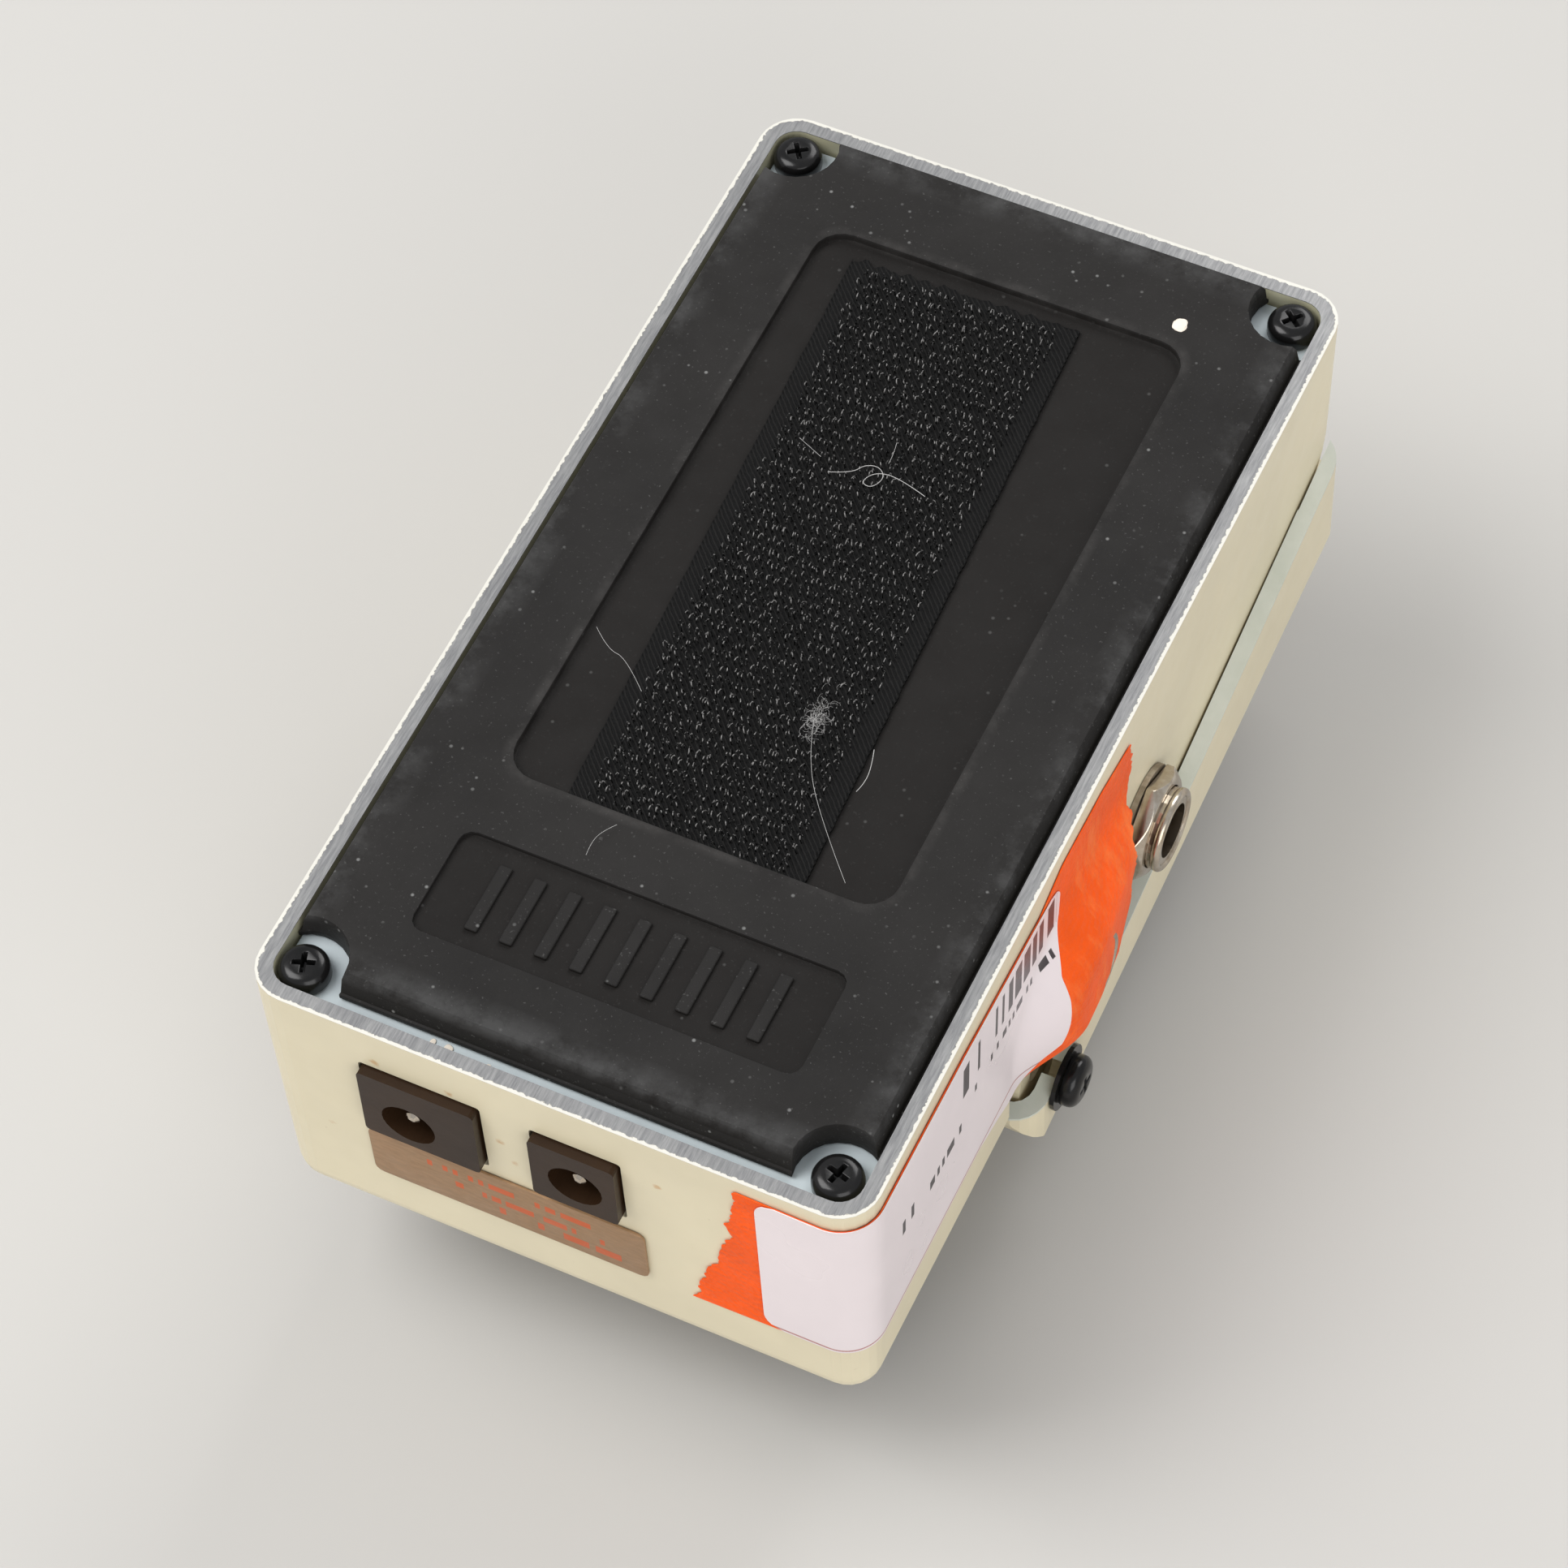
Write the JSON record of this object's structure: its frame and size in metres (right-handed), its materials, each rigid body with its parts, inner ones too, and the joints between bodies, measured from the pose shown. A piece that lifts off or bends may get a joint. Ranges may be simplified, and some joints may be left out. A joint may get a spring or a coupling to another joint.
{
  "type": "compact effects pedal",
  "caption": "Compact foot pedal stored base up: cast housing, rubber base with hook tape, hinged treadle, control knobs, side phone jacks and rear power sockets.",
  "frame": {"origin": "middle of the footprint in the plane of the knob tops, which is the table plane as stored", "axes": "+X towards the input side, +Y from the rear power sockets towards the toe end of the treadle, +Z out of the rubber base; the pedal stands upside down"},
  "size_m": [0.0801, 0.129, 0.0586],
  "materials": {
    "cream_paint": "satin",
    "steel_plate": "satin",
    "black_screw": "gloss",
    "black_plastic": "matte",
    "socket_plastic": "gloss",
    "battery_wrap": "satin",
    "board": "satin",
    "nickel": "gloss",
    "hook_fabric": "matte",
    "lens": "gloss",
    "name_plate": "brushed",
    "orange_vinyl": "satin",
    "white_vinyl": "gloss",
    "gold_label": "satin",
    "rubber": "matte"
  },
  "bodies": {
    "housing": {"base_plate": "steel_plate", "base_screw_1": "black_screw", "base_screw_2": "black_screw", "base_screw_3": "black_screw", "base_screw_4": "black_screw", "battery": "battery_wrap", "battery_snap": "black_plastic", "case": "cream_paint", "circuit_board": "board", "control_body_1": "black_plastic", "control_body_2": "black_plastic", "control_body_3": "black_plastic", "dc_pin_left": "nickel", "dc_pin_right": "nickel", "dc_socket_left": "socket_plastic", "dc_socket_right": "socket_plastic", "foot_switch": "black_plastic", "hook_strip": "hook_fabric", "jack_body_left_1": "socket_plastic", "jack_body_left_2": "socket_plastic", "jack_body_right_1": "socket_plastic", "jack_body_right_2": "socket_plastic", "jack_nut_left_1": "nickel", "jack_nut_left_2": "nickel", "jack_nut_right_1": "nickel", "jack_nut_right_2": "nickel", "jack_washer_left_1": "nickel", "jack_washer_left_2": "nickel", "jack_washer_right_1": "nickel", "jack_washer_right_2": "nickel", "led_lens": "lens", "orange_sticker": "orange_vinyl", "price_label": "white_vinyl", "rear_label": "gold_label", "rubber_base": "rubber", "spring_seat": "black_plastic", "treadle_spring": "nickel"},
    "hinge_pins": {"hinge_screw_left": "black_screw", "hinge_screw_right": "black_screw", "hinge_washer_left": "black_screw", "hinge_washer_right": "black_screw"},
    "treadle": {"treadle": "cream_paint", "treadle_pad": "rubber", "name_plate": "name_plate"},
    "thumbscrew": {"thumbscrew": "black_plastic"},
    "switch_button": {"switch_button": "rubber"},
    "knob_1": {"knob_1": "black_plastic", "control_shaft_1": "nickel"},
    "knob_2": {"knob_2": "black_plastic", "control_shaft_2": "nickel"},
    "knob_3": {"knob_3": "black_plastic", "control_shaft_3": "nickel"}
  },
  "joints": [
    {"name": "treadle_open", "type": "hinge", "parent": "housing", "child": "hinge_pins", "pos_m": [0, -0.018, 0.0165], "axis": [-1, 0, 0], "range_deg": [0, 70]},
    {"name": "treadle_press", "type": "hinge", "parent": "hinge_pins", "child": "treadle", "pos_m": [0, -0.018, 0.0165], "axis": [-1, 0, 0], "range_deg": [-2, 0], "stiffness_Nm_per_rad": 3, "springref_deg": 5.73, "deforming": ["treadle_spring"]},
    {"name": "thumbscrew_turn", "type": "hinge", "parent": "hinge_pins", "child": "thumbscrew", "pos_m": [0, 0.052, 0.0165], "axis": [0, 0, 1], "continuous": true},
    {"name": "switch_travel", "type": "slide", "parent": "housing", "child": "switch_button", "axis": [0, 0, 1], "range_m": [0, 0.0005]},
    {"name": "knob_1_turn", "type": "hinge", "parent": "housing", "child": "knob_1", "pos_m": [-0.023, -0.046, 0.007], "axis": [0, 0, -1], "range_deg": [-150, 150]},
    {"name": "knob_2_turn", "type": "hinge", "parent": "housing", "child": "knob_2", "pos_m": [0, -0.046, 0.007], "axis": [0, 0, -1], "range_deg": [-150, 150]},
    {"name": "knob_3_turn", "type": "hinge", "parent": "housing", "child": "knob_3", "pos_m": [0.023, -0.046, 0.007], "axis": [0, 0, -1], "range_deg": [-40, 40]}
  ],
  "couplings": [
    {"joint": "switch_travel", "follows": "treadle_press", "m_per_rad": -0.01146}
  ]
}
